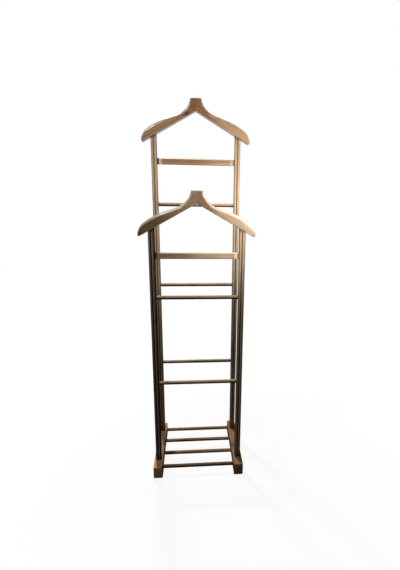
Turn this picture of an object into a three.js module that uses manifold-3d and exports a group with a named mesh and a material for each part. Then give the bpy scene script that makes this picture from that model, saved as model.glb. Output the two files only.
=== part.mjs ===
// Double valet stand in varnished beech: two hanger frames, one taller, on a pair of feet
// with a shoe rack between them.
// Millimetres, +Z up, +X to the right, the shorter frame in front at -Y.
// The origin is on the floor, midway between the feet and between the frames.

import * as THREE from 'three';
import { mergeVertices } from 'three/addons/utils/BufferGeometryUtils.js';
import Module from 'manifold-3d';

const wasm = await Module();
wasm.setup();

// Overall layout
const POST_SPACING = 350; // left post to right post, centre to centre
const FRAME_SPACING = 225; // front frame to rear frame, centre to centre
const FRONT_NECK_HEIGHT = 1208; // floor to the top of the front hanger's neck
const REAR_NECK_HEIGHT = 1578; // floor to the top of the rear hanger's neck
const CLEARANCE = 0.3; // room left between glued or touching faces

// Posts: square blanks reeded front and back with two beads, plain where the flat rail enters
const POST_WIDTH = 24;
const POST_DEPTH = 25;
const BEAD_RISE = 4.5; // depth of the groove between the two beads
const PLAIN_LENGTH = 40; // unreeded stretch at the flat rail
const PLAIN_STEP = 0.2; // how far the plain faces stand proud of the beads
const PLAIN_CORNER = 2.5;
const TENON_DIAMETER = 16; // round tenon turned on the foot of each post
const TENON_LENGTH = 28;

// Hangers: two arms each, meeting at the centre of the neck
const HANGER_WIDTH = 450;
const HANGER_THICKNESS = 30;
const NECK_WIDTH = 47;
const NECK_CORNER = 4.5; // radius of the neck's two top corners
const NECK_DEPTH = 48; // neck's top down to the point between the undersides
const FLARE_OUT = 44.5; // how far the neck's concave flare runs out sideways
const FLARE_DROP = 58.5; // and how far it runs down
const SHOULDER_PITCH = 23.7; // degrees, mean fall of the shoulder
const UNDERSIDE_PITCH = 29.1; // degrees, fall of the straight underside
const TIP_ROUND_IN = 25; // the shoulder rounds over to the tip from here, measured inwards
const TIP_ROUND_DROP = 45.5;
const TIP_CORNER = 7.5; // size of the small round at the lowest corner
const NECK_EDGE = 4; // edge radius round the neck's top
const SHOULDER_EDGE = 13; // edge radius along the shoulders
const EDGE_EASE = 0.5; // the edge radius grows from neck to shoulder as this power of the way
const UNDERSIDE_EDGE = 2.4; // edge radius along the undersides

// How far the hanger's curves are pulled, as shares of the flare, the shoulder and the tip
const FLARE_PULL = { topOut: 0.06, topDown: 0.44, endOut: 0.48, endDown: 0.8 };
const SHOULDER_PULL = { inner: 0.88, outer: 1.6 };
const TIP_PULL = { topOut: 0.44, topDown: 0.19, endOut: 0.94, endDown: 0.56 };

// Flat rail across each frame, under the hanger
const RAIL_HEIGHT = 25;
const RAIL_THICKNESS = 18;
const RAIL_BELOW_NECK = 244; // neck's top down to the rail's centre line
const RAIL_EDGE = 4;
const RAIL_TENON_THICKNESS = 8;
const RAIL_TENON_SHOWING = 6; // length of tenon seen between shoulder and post
const RAIL_TENON_DEPTH = 10; // length of tenon inside the post
const RAIL_TENON_EDGE = 1; // its edge radius
const RAIL_SHOULDER = 14; // length of the curved shoulder at each end

// Round rails
const DOWEL_DIAMETER = 16;
const DOWEL_CHAMFER = 1;
const SOCKET_DEPTH = 12;
const FRONT_UPPER_RAIL_DROP = 411; // neck's top down to the rail's centre line
const REAR_UPPER_RAIL_DROP = 419;
const MIDDLE_RAIL_HEIGHT = 805; // floor to the centre line
const LOWER_RAIL_HEIGHT = 427;

// Feet and shoe rack
const FOOT_LENGTH = 352;
const FOOT_WIDTH = 39;
const FOOT_TOP = 60; // floor to the top of the foot
const FOOT_EDGE = 4;
const FOOT_TOP_CORNER = 5; // rounding of the foot's ends, seen from the side
const FOOT_TOE_CORNER = 12;
const FOOT_PAD = 75; // length of the part at each end that stands on the floor
const ARCH_RISE = 11; // height of the shallow arch between those parts
const ARCH_EASE = 22; // length over which the arch runs up to its height
const SHOE_RAIL_COUNT = 4;
const SHOE_RAIL_FROM_END = 35; // end of the foot to the first rail's centre line
const SHOE_RAIL_HEIGHT = 40;

// Glides, pins and screws
const GLIDE_DIAMETER = 26;
const GLIDE_THICKNESS = 3;
const GLIDE_FROM_END = 36;
const GLIDE_STEM_DIAMETER = 5;
const GLIDE_STEM_LENGTH = 14;
const PIN_DIAMETER = 8;
const NECK_PIN_LENGTH = 36;
const NECK_PIN_DROPS = { upper: 16, lower: 35 }; // below the neck's top
const POST_PIN_LENGTH = 40;
const SCREW_DIAMETER = 5;
const SCREW_LENGTH = 50;
const SCREW_HEAD_DIAMETER = 10;
const SCREW_HEAD_HEIGHT = 4;
const SCREW_HEAD_EDGE = 1;
const SCREW_POINT = 10; // length of the tapered point
const SCREW_HEAD_SUNK = 13; // depth of the counterbore in the foot's underside

// Fineness of the round forms
const ROUND_SIDES = 24;
const SMALL_SIDES = 16;
const CURVE_STEPS = 10;
const TIP_STEPS = 8;
const CORNER_STEPS = 3;
const SHOULDER_STEPS = 5;
const BEAD_STEPS = 6;
const EDGE_STEPS = 3;
const FOOT_CURVE_STEPS = 3;

// Values that follow from the sizes above
const REACH = 100; // cutting tools run this far past what they cut
const OVERLAP = 1; // how far a turned tenon runs into the body that it is joined to
const postX = POST_SPACING / 2;
const frameY = FRAME_SPACING / 2;
const postInnerFace = postX - POST_WIDTH / 2;
const footInnerFace = postX - FOOT_WIDTH / 2;
const undersideSlope = Math.tan(THREE.MathUtils.degToRad(UNDERSIDE_PITCH));
const shoulderSlope = Math.tan(THREE.MathUtils.degToRad(SHOULDER_PITCH));
const archHeight = GLIDE_THICKNESS + ARCH_RISE;
const screwHeadBase = GLIDE_THICKNESS + SCREW_HEAD_SUNK;

// Solids and cutting

function toSolid(geometry) {
  const plain = geometry.index ? geometry.toNonIndexed() : geometry.clone();
  plain.deleteAttribute('normal');
  plain.deleteAttribute('uv');
  const merged = mergeVertices(plain, 1e-4);
  return new wasm.Manifold(
    new wasm.Mesh({
      numProp: 3,
      vertProperties: new Float32Array(merged.attributes.position.array),
      triVerts: new Uint32Array(merged.index.array),
    }),
  );
}

function toGeometry(solid) {
  const mesh = solid.getMesh();
  const geometry = new THREE.BufferGeometry();
  geometry.setAttribute('position', new THREE.BufferAttribute(mesh.vertProperties, 3));
  geometry.setIndex(new THREE.BufferAttribute(mesh.triVerts, 1));
  geometry.computeVertexNormals();
  return geometry;
}

function cut(geometry, cutters) {
  let solid = toSolid(geometry);
  for (const cutter of cutters) solid = solid.subtract(toSolid(cutter));
  return toGeometry(solid);
}

function join(geometries) {
  return toGeometry(geometries.map(toSolid).reduce((whole, next) => whole.add(next)));
}

function box(sizeX, sizeY, sizeZ, x, y, z) {
  return new THREE.BoxGeometry(sizeX, sizeY, sizeZ).translate(x, y, z);
}

// A turned piece on the Z axis from a list of [radius, height] corners
function turned(profile, sides) {
  return new THREE.LatheGeometry(profile.map(([r, z]) => new THREE.Vector2(r, z)), sides)
    .rotateX(Math.PI / 2);
}

function rod(diameter, from, to, sides, chamfer = 0) {
  const r = diameter / 2;
  const profile = [[0, from], [r - chamfer, from]];
  if (chamfer > 0) profile.push([r, from + chamfer], [r, to - chamfer]);
  profile.push([r - chamfer, to], [0, to]);
  return turned(profile, sides);
}

function alongX(geometry) {
  return geometry.rotateY(Math.PI / 2);
}

// A plate with rounded edges: the outline [u, v, edge radius] runs anticlockwise, the plate
// is as thick as asked along the third axis, and each corner has its own edge radius.
function roundedPlate(outline, thickness) {
  const count = outline.length;
  const inward = outline.map((point, i) => {
    const before = outline[(i + count - 1) % count];
    const after = outline[(i + 1) % count];
    const a = new THREE.Vector2(point[0] - before[0], point[1] - before[1]).normalize();
    const b = new THREE.Vector2(after[0] - point[0], after[1] - point[1]).normalize();
    const sum = new THREE.Vector2(-a.y - b.y, a.x + b.x);
    return sum.divideScalar(1 + a.dot(b));
  });
  const rings = [];
  for (const side of [-1, 1]) {
    const faces = [];
    for (let step = 0; step <= EDGE_STEPS; step += 1) {
      const angle = (Math.PI / 2) * (step / EDGE_STEPS);
      faces.push(outline.map(([u, v, r], i) => [
        u + inward[i].x * r * (1 - Math.cos(angle)),
        v + inward[i].y * r * (1 - Math.cos(angle)),
        side * (thickness / 2 - r * (1 - Math.sin(angle))),
      ]));
    }
    rings.push(...(side < 0 ? faces.reverse() : faces));
  }
  const positions = rings.flat(2);
  const index = [];
  for (let ring = 0; ring + 1 < rings.length; ring += 1) {
    for (let i = 0; i < count; i += 1) {
      const low = ring * count + i;
      const next = ring * count + ((i + 1) % count);
      index.push(low, next, next + count, low, next + count, low + count);
    }
  }
  const last = (rings.length - 1) * count;
  const flat = (ring) => ring.map(([u, v]) => new THREE.Vector2(u, v));
  for (const [a, b, c] of THREE.ShapeUtils.triangulateShape(flat(rings[0]), [])) {
    index.push(a, c, b);
  }
  for (const [a, b, c] of THREE.ShapeUtils.triangulateShape(flat(rings.at(-1)), [])) {
    index.push(last + a, last + b, last + c);
  }
  const geometry = new THREE.BufferGeometry();
  geometry.setAttribute('position', new THREE.Float32BufferAttribute(positions, 3));
  geometry.setIndex(index);
  return geometry;
}

// Plate axes (u, v, thickness) laid along (X, Z, -Y): seen from the front
function standing(geometry) {
  return geometry.rotateX(Math.PI / 2);
}

// Plate axes (u, v, thickness) laid along (Y, Z, X): seen from the right
function sideways(geometry) {
  return geometry.rotateX(Math.PI / 2).rotateZ(Math.PI / 2);
}

// Hanger: half outline from the neck's top out to the tip, then back along the underside

function undersideDrop(x) {
  return NECK_DEPTH + undersideSlope * Math.abs(x);
}

function hangerOutline() {
  const tipX = HANGER_WIDTH / 2;
  const neckX = NECK_WIDTH / 2;
  const flareEnd = [neckX + FLARE_OUT, FLARE_DROP];
  const shoulderRun = tipX - TIP_ROUND_IN - flareEnd[0];
  const shoulderEnd = [flareEnd[0] + shoulderRun, FLARE_DROP + shoulderSlope * shoulderRun];
  const tipTop = [tipX, shoulderEnd[1] + TIP_ROUND_DROP];
  const third = shoulderRun / 3;
  const curve = (points) => new THREE.CubicBezierCurve(
    ...points.map(([x, drop]) => new THREE.Vector2(x, drop)),
  );
  const flare = curve([
    [neckX, NECK_CORNER],
    [neckX + FLARE_OUT * FLARE_PULL.topOut, FLARE_DROP * FLARE_PULL.topDown],
    [neckX + FLARE_OUT * FLARE_PULL.endOut, FLARE_DROP * FLARE_PULL.endDown],
    flareEnd,
  ]);
  const shoulder = curve([
    flareEnd,
    [flareEnd[0] + third, flareEnd[1] + third * shoulderSlope * SHOULDER_PULL.inner],
    [shoulderEnd[0] - third, shoulderEnd[1] - third * shoulderSlope * SHOULDER_PULL.outer],
    shoulderEnd,
  ]);
  const tip = curve([
    shoulderEnd,
    [shoulderEnd[0] + TIP_ROUND_IN * TIP_PULL.topOut, shoulderEnd[1] + TIP_ROUND_DROP * TIP_PULL.topDown],
    [shoulderEnd[0] + TIP_ROUND_IN * TIP_PULL.endOut, shoulderEnd[1] + TIP_ROUND_DROP * TIP_PULL.endDown],
    tipTop,
  ]);
  const corner = new THREE.QuadraticBezierCurve(
    new THREE.Vector2(...tipTop),
    new THREE.Vector2(tipX, undersideDrop(tipX)),
    new THREE.Vector2(tipX - TIP_CORNER, undersideDrop(tipX - TIP_CORNER)),
  );
  const half = [];
  const add = (from, steps, path, startEdge, endEdge, ease = 1) => {
    path.getPoints(steps).slice(from).forEach((point, i) => {
      const share = ((i + from) / steps) ** ease;
      half.push([point.x, -point.y, startEdge + (endEdge - startEdge) * share]);
    });
  };
  const neckArc = new THREE.EllipseCurve(
    neckX - NECK_CORNER, NECK_CORNER, NECK_CORNER, NECK_CORNER, -Math.PI / 2, 0,
  );
  add(0, CORNER_STEPS, neckArc, NECK_EDGE, NECK_EDGE);
  add(1, CURVE_STEPS, flare, NECK_EDGE, SHOULDER_EDGE, EDGE_EASE);
  add(1, CURVE_STEPS, shoulder, SHOULDER_EDGE, SHOULDER_EDGE);
  add(1, TIP_STEPS, tip, SHOULDER_EDGE, UNDERSIDE_EDGE);
  add(1, CORNER_STEPS, corner, UNDERSIDE_EDGE, UNDERSIDE_EDGE);
  const left = half.map(([x, z, edge]) => [-x, z, edge]).reverse();
  const apex = [0, -NECK_DEPTH, UNDERSIDE_EDGE];
  // Clockwise so far, as seen from the front, so it is turned round
  return [...left, ...half, apex].reverse();
}

function neckPinHeight(neckHeight, drop) {
  return neckHeight - drop;
}

function postPinMiddle(neckHeight) {
  return neckHeight - undersideDrop(postX);
}

function hangerArms(neckHeight) {
  const whole = standing(roundedPlate(hangerOutline(), HANGER_THICKNESS)).translate(0, 0, neckHeight);
  return [-1, 1].map((side) => {
    const otherHalf = box(
      HANGER_WIDTH, REACH, HANGER_WIDTH,
      side * (CLEARANCE / 2 - HANGER_WIDTH / 2), 0, neckHeight,
    );
    const holes = Object.values(NECK_PIN_DROPS).map((drop) => {
      const depth = NECK_PIN_LENGTH / 2 + CLEARANCE;
      return alongX(rod(PIN_DIAMETER + 2 * CLEARANCE, -depth, depth, SMALL_SIDES))
        .translate(0, 0, neckPinHeight(neckHeight, drop));
    });
    const middle = postPinMiddle(neckHeight);
    const postHole = rod(
      PIN_DIAMETER + 2 * CLEARANCE, middle - REACH,
      middle + POST_PIN_LENGTH / 2 + CLEARANCE, SMALL_SIDES,
    ).translate(side * postX, 0, 0);
    return cut(whole, [otherHalf, ...holes, postHole]);
  });
}

// Posts

// Two beads side by side on the front face and two on the back
function reededSection() {
  const quarter = POST_WIDTH / 4;
  const radius = (quarter * quarter + BEAD_RISE * BEAD_RISE) / (2 * BEAD_RISE);
  const centreY = POST_DEPTH / 2 - radius;
  const halfAngle = Math.asin(quarter / radius);
  const section = new THREE.Shape();
  const beads = [
    [quarter, centreY, Math.PI / 2], [-quarter, centreY, Math.PI / 2],
    [-quarter, -centreY, -Math.PI / 2], [quarter, -centreY, -Math.PI / 2],
  ];
  const points = beads.flatMap(([x, y, middle]) => {
    const arc = [];
    for (let step = 0; step <= BEAD_STEPS; step += 1) {
      const angle = middle - halfAngle + (2 * halfAngle * step) / BEAD_STEPS;
      arc.push(new THREE.Vector2(x + radius * Math.cos(angle), y + radius * Math.sin(angle)));
    }
    return arc;
  });
  // Neighbouring beads share the point at the bottom of their groove
  section.setFromPoints(points.filter((p, i) => i === 0 || p.distanceTo(points[i - 1]) > 0.01));
  return section;
}

function roundedRectangle(width, depth, corner) {
  const x = width / 2 - corner;
  const y = depth / 2 - corner;
  const shape = new THREE.Shape();
  shape.absarc(x, y, corner, 0, Math.PI / 2);
  shape.absarc(-x, y, corner, Math.PI / 2, Math.PI);
  shape.absarc(-x, -y, corner, Math.PI, 1.5 * Math.PI);
  shape.absarc(x, -y, corner, 1.5 * Math.PI, 2 * Math.PI);
  shape.closePath();
  return shape;
}

// The unreeded stretch, whose ends run out in a curve to the bottom of the grooves
function plainStretch(height) {
  const runOut = BEAD_RISE;
  const outline = roundedRectangle(
    POST_WIDTH - 2 * PLAIN_STEP, POST_DEPTH + 2 * PLAIN_STEP, PLAIN_CORNER + runOut,
  );
  return new THREE.ExtrudeGeometry(outline, {
    depth: PLAIN_LENGTH - 2 * runOut,
    bevelThickness: runOut,
    bevelSize: runOut,
    bevelOffset: -runOut,
    bevelSegments: EDGE_STEPS,
    curveSegments: CORNER_STEPS,
  }).translate(0, 0, height - PLAIN_LENGTH / 2 + runOut);
}

function post(side, neckHeight, socketHeights) {
  const x = side * postX;
  const railHeight = neckHeight - RAIL_BELOW_NECK;
  const top = neckHeight - undersideDrop(postX);
  const shaft = new THREE.ExtrudeGeometry(reededSection(), {
    depth: top + REACH / 2 - FOOT_TOP - CLEARANCE,
    bevelEnabled: false,
  }).translate(0, 0, FOOT_TOP + CLEARANCE);
  const tenon = rod(TENON_DIAMETER, FOOT_TOP - TENON_LENGTH, FOOT_TOP + OVERLAP, ROUND_SIDES);
  const body = join([shaft, plainStretch(railHeight), tenon]).translate(x, 0, 0);

  // Sawn off parallel to the hanger's underside
  const gap = CLEARANCE / Math.cos(THREE.MathUtils.degToRad(UNDERSIDE_PITCH));
  const sawn = [postX - REACH / 2, postX + REACH / 2].map((at) => {
    return [side * at, neckHeight - undersideDrop(at) - gap];
  });
  const waste = new THREE.Shape([
    new THREE.Vector2(...sawn[0]),
    new THREE.Vector2(...sawn[1]),
    new THREE.Vector2(sawn[1][0], sawn[1][1] + 2 * REACH),
    new THREE.Vector2(sawn[0][0], sawn[0][1] + 2 * REACH),
  ]);
  const sawCut = standing(new THREE.ExtrudeGeometry(waste, {
    depth: 2 * REACH,
    bevelEnabled: false,
  })).translate(0, REACH, 0);

  const inner = side * postInnerFace;
  const sockets = socketHeights.map((height) => {
    return alongX(rod(DOWEL_DIAMETER + 2 * CLEARANCE, -SOCKET_DEPTH, SOCKET_DEPTH, ROUND_SIDES))
      .translate(inner, 0, height);
  });
  const mortise = box(
    2 * RAIL_TENON_DEPTH, RAIL_TENON_THICKNESS + 2 * CLEARANCE, RAIL_HEIGHT + 2 * CLEARANCE,
    inner, 0, railHeight,
  );
  const pinHole = rod(
    PIN_DIAMETER + 2 * CLEARANCE, postPinMiddle(neckHeight) - POST_PIN_LENGTH / 2 - CLEARANCE,
    top + REACH, SMALL_SIDES,
  ).translate(x, 0, 0);
  const screwHole = rod(
    SCREW_DIAMETER + 2 * CLEARANCE, 0, screwHeadBase + SCREW_LENGTH + CLEARANCE, SMALL_SIDES,
  ).translate(x, 0, 0);
  return cut(body, [sawCut, ...sockets, mortise, pinHole, screwHole]);
}

// Rails

function flatRail() {
  const end = postInnerFace + RAIL_TENON_DEPTH - CLEARANCE;
  const neckEnd = postInnerFace - RAIL_TENON_SHOWING;
  const thin = RAIL_TENON_THICKNESS / 2;
  const swell = RAIL_THICKNESS / 2 - thin;
  // One quarter of the plan: tenon, curved shoulder, then the straight face
  const quarter = [[end, thin, RAIL_TENON_EDGE], [neckEnd, thin, RAIL_TENON_EDGE]];
  for (let step = 1; step <= SHOULDER_STEPS; step += 1) {
    const share = step / SHOULDER_STEPS;
    const angle = (Math.PI / 2) * share;
    quarter.push([
      neckEnd - RAIL_SHOULDER * (1 - Math.cos(angle)),
      thin + swell * Math.sin(angle),
      RAIL_TENON_EDGE + (RAIL_EDGE - RAIL_TENON_EDGE) * share,
    ]);
  }
  const mirrored = (flipX, flipY) => quarter.map(([x, y, edge]) => [flipX * x, flipY * y, edge]);
  const outline = [
    ...mirrored(1, 1),
    ...mirrored(-1, 1).reverse(),
    ...mirrored(-1, -1),
    ...mirrored(1, -1).reverse(),
  ];
  return roundedPlate(outline, RAIL_HEIGHT);
}

function roundRail(innerFace) {
  const reach = innerFace + SOCKET_DEPTH - CLEARANCE;
  return alongX(rod(DOWEL_DIAMETER, -reach, reach, ROUND_SIDES, DOWEL_CHAMFER));
}

const shoeRailSpread = FOOT_LENGTH - 2 * SHOE_RAIL_FROM_END;
const shoeRailPlaces = Array.from({ length: SHOE_RAIL_COUNT }, (_, i) => {
  return -shoeRailSpread / 2 + (shoeRailSpread * i) / (SHOE_RAIL_COUNT - 1);
});

const glideY = FOOT_LENGTH / 2 - GLIDE_FROM_END;

// Feet

// Side outline of a foot, anticlockwise seen from the right, with its shallow arch beneath
function footOutline() {
  const end = FOOT_LENGTH / 2;
  const padEnd = end - FOOT_PAD;
  const outline = new THREE.Shape();
  outline.absarc(end - FOOT_TOE_CORNER, GLIDE_THICKNESS + FOOT_TOE_CORNER, FOOT_TOE_CORNER,
    -Math.PI / 2, 0);
  outline.absarc(end - FOOT_TOP_CORNER, FOOT_TOP - FOOT_TOP_CORNER, FOOT_TOP_CORNER,
    0, Math.PI / 2);
  outline.absarc(-end + FOOT_TOP_CORNER, FOOT_TOP - FOOT_TOP_CORNER, FOOT_TOP_CORNER,
    Math.PI / 2, Math.PI);
  outline.absarc(-end + FOOT_TOE_CORNER, GLIDE_THICKNESS + FOOT_TOE_CORNER, FOOT_TOE_CORNER,
    Math.PI, 1.5 * Math.PI);
  outline.lineTo(-padEnd, GLIDE_THICKNESS);
  outline.bezierCurveTo(
    -padEnd + ARCH_EASE / 2, GLIDE_THICKNESS,
    -padEnd + ARCH_EASE / 2, archHeight,
    -padEnd + ARCH_EASE, archHeight,
  );
  outline.lineTo(padEnd - ARCH_EASE, archHeight);
  outline.bezierCurveTo(
    padEnd - ARCH_EASE / 2, archHeight,
    padEnd - ARCH_EASE / 2, GLIDE_THICKNESS,
    padEnd, GLIDE_THICKNESS,
  );
  const points = outline.getPoints(FOOT_CURVE_STEPS);
  const apart = points.filter((p, i) => i === 0 || p.distanceTo(points[i - 1]) > 0.01);
  return apart.map((point) => [point.x, point.y, FOOT_EDGE]);
}

function foot(side) {
  const x = side * postX;
  const body = sideways(roundedPlate(footOutline(), FOOT_WIDTH)).translate(x, 0, 0);
  const cutters = shoeRailPlaces.map((y) => {
    return alongX(rod(DOWEL_DIAMETER + 2 * CLEARANCE, -SOCKET_DEPTH, SOCKET_DEPTH, ROUND_SIDES))
      .translate(side * footInnerFace, y, SHOE_RAIL_HEIGHT);
  });
  for (const y of [-frameY, frameY]) {
    const tenonHole = rod(
      TENON_DIAMETER + 2 * CLEARANCE, FOOT_TOP - TENON_LENGTH - CLEARANCE,
      FOOT_TOP + REACH, ROUND_SIDES,
    );
    const screwHole = rod(SCREW_DIAMETER + 2 * CLEARANCE, 0, FOOT_TOP, SMALL_SIDES);
    const headHole = rod(
      SCREW_HEAD_DIAMETER + 2 * CLEARANCE, 0,
      screwHeadBase + SCREW_HEAD_HEIGHT + CLEARANCE, ROUND_SIDES,
    );
    cutters.push(...[tenonHole, screwHole, headHole].map((hole) => hole.translate(x, y, 0)));
  }
  for (const y of [-glideY, glideY]) {
    const top = GLIDE_THICKNESS + GLIDE_STEM_LENGTH + CLEARANCE;
    cutters.push(rod(GLIDE_STEM_DIAMETER + 2 * CLEARANCE, 0, top, SMALL_SIDES).translate(x, y, 0));
  }
  return cut(body, cutters);
}

// Glides, pins and screws

function glide() {
  const r = GLIDE_DIAMETER / 2;
  const under = GLIDE_THICKNESS - CLEARANCE;
  const bevel = GLIDE_THICKNESS / 3;
  const stem = GLIDE_STEM_DIAMETER / 2;
  const stemTop = GLIDE_THICKNESS + GLIDE_STEM_LENGTH;
  return turned([
    [0, 0], [r - bevel, 0], [r, bevel], [r, under],
    [stem, under], [stem, stemTop], [0, stemTop],
  ], ROUND_SIDES);
}

function pin(length) {
  return rod(PIN_DIAMETER, -length / 2, length / 2, SMALL_SIDES, DOWEL_CHAMFER);
}

// Countersunk wood screw, head down; the recess for the screwdriver is left out
function screw() {
  const shank = SCREW_DIAMETER / 2;
  const head = SCREW_HEAD_DIAMETER / 2;
  return turned([
    [0, 0], [head, 0], [head, SCREW_HEAD_EDGE], [shank, SCREW_HEAD_HEIGHT],
    [shank, SCREW_LENGTH - SCREW_POINT], [0, SCREW_LENGTH],
  ], SMALL_SIDES);
}

// Materials

const FINISH = {
  arm: { color: 0xb98f63, roughness: 0.42, metalness: 0 },
  post: { color: 0xae8459, roughness: 0.45, metalness: 0 },
  rail: { color: 0xb48a5e, roughness: 0.45, metalness: 0 },
  foot: { color: 0xa67c52, roughness: 0.48, metalness: 0 },
  pin: { color: 0xc9a57a, roughness: 0.8, metalness: 0 },
  plastic: { color: 0x1c1a18, roughness: 0.55, metalness: 0 },
  steel: { color: 0xb9b9b4, roughness: 0.35, metalness: 1 },
};

// Assembly

const stand = new THREE.Group();

function place(name, geometry, finish, x = 0, y = 0, z = 0) {
  const mesh = new THREE.Mesh(geometry, new THREE.MeshStandardMaterial(FINISH[finish]));
  mesh.name = name;
  mesh.position.set(x, y, z);
  stand.add(mesh);
}

const SIDES = [['left', -1], ['right', 1]];
const FRAMES = [
  {
    name: 'front',
    y: -frameY,
    neckHeight: FRONT_NECK_HEIGHT,
    roundRails: {
      front_upper_round_rail: FRONT_NECK_HEIGHT - FRONT_UPPER_RAIL_DROP,
      front_lower_round_rail: LOWER_RAIL_HEIGHT,
    },
  },
  {
    name: 'rear',
    y: frameY,
    neckHeight: REAR_NECK_HEIGHT,
    roundRails: {
      rear_upper_round_rail: REAR_NECK_HEIGHT - REAR_UPPER_RAIL_DROP,
      rear_middle_round_rail: MIDDLE_RAIL_HEIGHT,
      rear_lower_round_rail: LOWER_RAIL_HEIGHT,
    },
  },
];

for (const [sideName, side] of SIDES) {
  place(`${sideName}_foot`, foot(side), 'foot');
}

for (const { name, y, neckHeight, roundRails } of FRAMES) {
  const arms = hangerArms(neckHeight);
  const sockets = Object.values(roundRails);
  SIDES.forEach(([sideName, side], i) => {
    place(`${name}_${sideName}_post`, post(side, neckHeight, sockets), 'post', 0, y);
    place(`${name}_${sideName}_hanger_arm`, arms[i], 'arm', 0, y);
    place(`${name}_${sideName}_post_pin`, pin(POST_PIN_LENGTH), 'pin',
      side * postX, y, postPinMiddle(neckHeight));
    place(`${name}_${sideName}_foot_screw`, screw(), 'steel', side * postX, y, screwHeadBase);
    place(`${name}_${sideName}_glide`, glide(), 'plastic', side * postX, Math.sign(y) * glideY);
  });
  for (const [level, drop] of Object.entries(NECK_PIN_DROPS)) {
    place(`${name}_neck_pin_${level}`, alongX(pin(NECK_PIN_LENGTH)), 'pin',
      0, y, neckPinHeight(neckHeight, drop));
  }
  place(`${name}_flat_rail`, flatRail(), 'rail', 0, y, neckHeight - RAIL_BELOW_NECK);
  for (const [railName, height] of Object.entries(roundRails)) {
    place(railName, roundRail(postInnerFace), 'rail', 0, y, height);
  }
}

shoeRailPlaces.forEach((y, i) => {
  place(`shoe_rack_rail_${i + 1}`, roundRail(footInnerFace), 'rail', 0, y, SHOE_RAIL_HEIGHT);
});

export default stand;
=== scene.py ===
import math

import bmesh
import bpy
import numpy as np
from mathutils import Matrix, Vector


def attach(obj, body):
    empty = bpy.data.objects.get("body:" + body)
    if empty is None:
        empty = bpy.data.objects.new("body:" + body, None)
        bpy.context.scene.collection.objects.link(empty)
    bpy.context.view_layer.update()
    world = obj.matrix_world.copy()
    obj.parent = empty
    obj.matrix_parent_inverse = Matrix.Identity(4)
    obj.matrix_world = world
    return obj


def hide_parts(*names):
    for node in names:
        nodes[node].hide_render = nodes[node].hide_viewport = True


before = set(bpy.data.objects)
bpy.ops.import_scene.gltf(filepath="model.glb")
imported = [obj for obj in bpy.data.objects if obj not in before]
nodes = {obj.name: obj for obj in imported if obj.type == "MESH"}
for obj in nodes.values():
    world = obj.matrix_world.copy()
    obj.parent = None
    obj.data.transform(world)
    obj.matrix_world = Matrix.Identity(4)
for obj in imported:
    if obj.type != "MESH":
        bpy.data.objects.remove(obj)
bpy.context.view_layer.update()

MM = 0.001

# Sizes in millimetres, as in the solids

POST_X = 175.0
FRAME_Y = 112.5
POST_WIDTH = 24.0
POST_DEPTH = 25.0
BEAD_RISE = 4.5
NECK = {"front": 1208.0, "rear": 1578.0}
HANGER_WIDTH = 450.0
HANGER_THICKNESS = 30.0
NECK_WIDTH = 47.0
NECK_CORNER = 4.5
NECK_DEPTH = 48.0
FLARE_OUT = 44.5
FLARE_DROP = 58.5
SHOULDER_SLOPE = math.tan(math.radians(23.7))
UNDERSIDE_SLOPE = math.tan(math.radians(29.1))
TIP_ROUND_IN = 25.0
TIP_ROUND_DROP = 45.5
TIP_CORNER = 7.5
# The hanger's edge radius, which grows from the neck to the shoulder
NECK_EDGE = 4.0
SHOULDER_EDGE = 13.0
EDGE_EASE = 0.5
UNDERSIDE_EDGE = 2.4
RAIL_HEIGHT = 25.0
RAIL_THICKNESS = 18.0
RAIL_BELOW_NECK = 244.0
RAIL_EDGE = 4.0
RAIL_TENON_THICKNESS = 8.0
RAIL_TENON_SHOWING = 6.0
RAIL_TENON_EDGE = 1.0
RAIL_SHOULDER = 14.0
DOWEL_RADIUS = 8.0
FOOT_LENGTH = 352.0
FOOT_WIDTH = 39.0
FOOT_TOP = 60.0
FOOT_EDGE = 4.0
FOOT_TOP_CORNER = 5.0
FOOT_TOE_CORNER = 12.0
FOOT_PAD = 75.0
ARCH_RISE = 11.0
ARCH_EASE = 22.0
GLIDE_THICKNESS = 3.0
GLIDE_INSET = 36.0
# The gap round each solid, and the closed one of the dressed neck joint
GAP = 0.3
GLUE_LINE = 0.02

SIDES = {"left": -1, "right": 1}
FRAMES = {"front": -FRAME_Y, "rear": FRAME_Y}
POST_INNER = POST_X - POST_WIDTH / 2
FOOT_INNER = POST_X - FOOT_WIDTH / 2
# Each round rail's place from front to back, its height, the inner face that it ends in, and
# where the painted shade on its underside starts, in radii below its axis
ROUND_RAILS = {
    "front_upper_round_rail": (-FRAME_Y, 797.0, POST_INNER, -0.05),
    "front_lower_round_rail": (-FRAME_Y, 427.0, POST_INNER, -0.05),
    "rear_upper_round_rail": (FRAME_Y, 1159.0, POST_INNER, 0.2),
    "rear_middle_round_rail": (FRAME_Y, 805.0, POST_INNER, -0.05),
    "rear_lower_round_rail": (FRAME_Y, 427.0, POST_INNER, -0.05),
    "shoe_rack_rail_1": (-141.0, 40.0, FOOT_INNER, -0.35),
    "shoe_rack_rail_2": (-47.0, 40.0, FOOT_INNER, -0.35),
    "shoe_rack_rail_3": (47.0, 40.0, FOOT_INNER, -0.35),
    "shoe_rack_rail_4": (141.0, 40.0, FOOT_INNER, -0.35),
}

# Random draws: the materials' seeds count on from the first two in the order of the nodes'
# names, and a round rail's seed is worked out from its name with the other three
WOOD_SEED = 100
PIN_SEED = 400
NAME_START = 7
NAME_FACTOR = 31
NAME_LIMIT = 1000003

# Choices of the dressed meshes, in millimetres

# Handles of the hanger's curves, as shares of a curve's width and drop, or of its slope
FLARE_HANDLES = ((0.06, 0.44), (0.48, 0.8))
SHOULDER_HANDLE_SLOPES = (0.88, 1.6)
TIP_HANDLES = ((0.44, 0.19), (0.94, 0.56))
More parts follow.
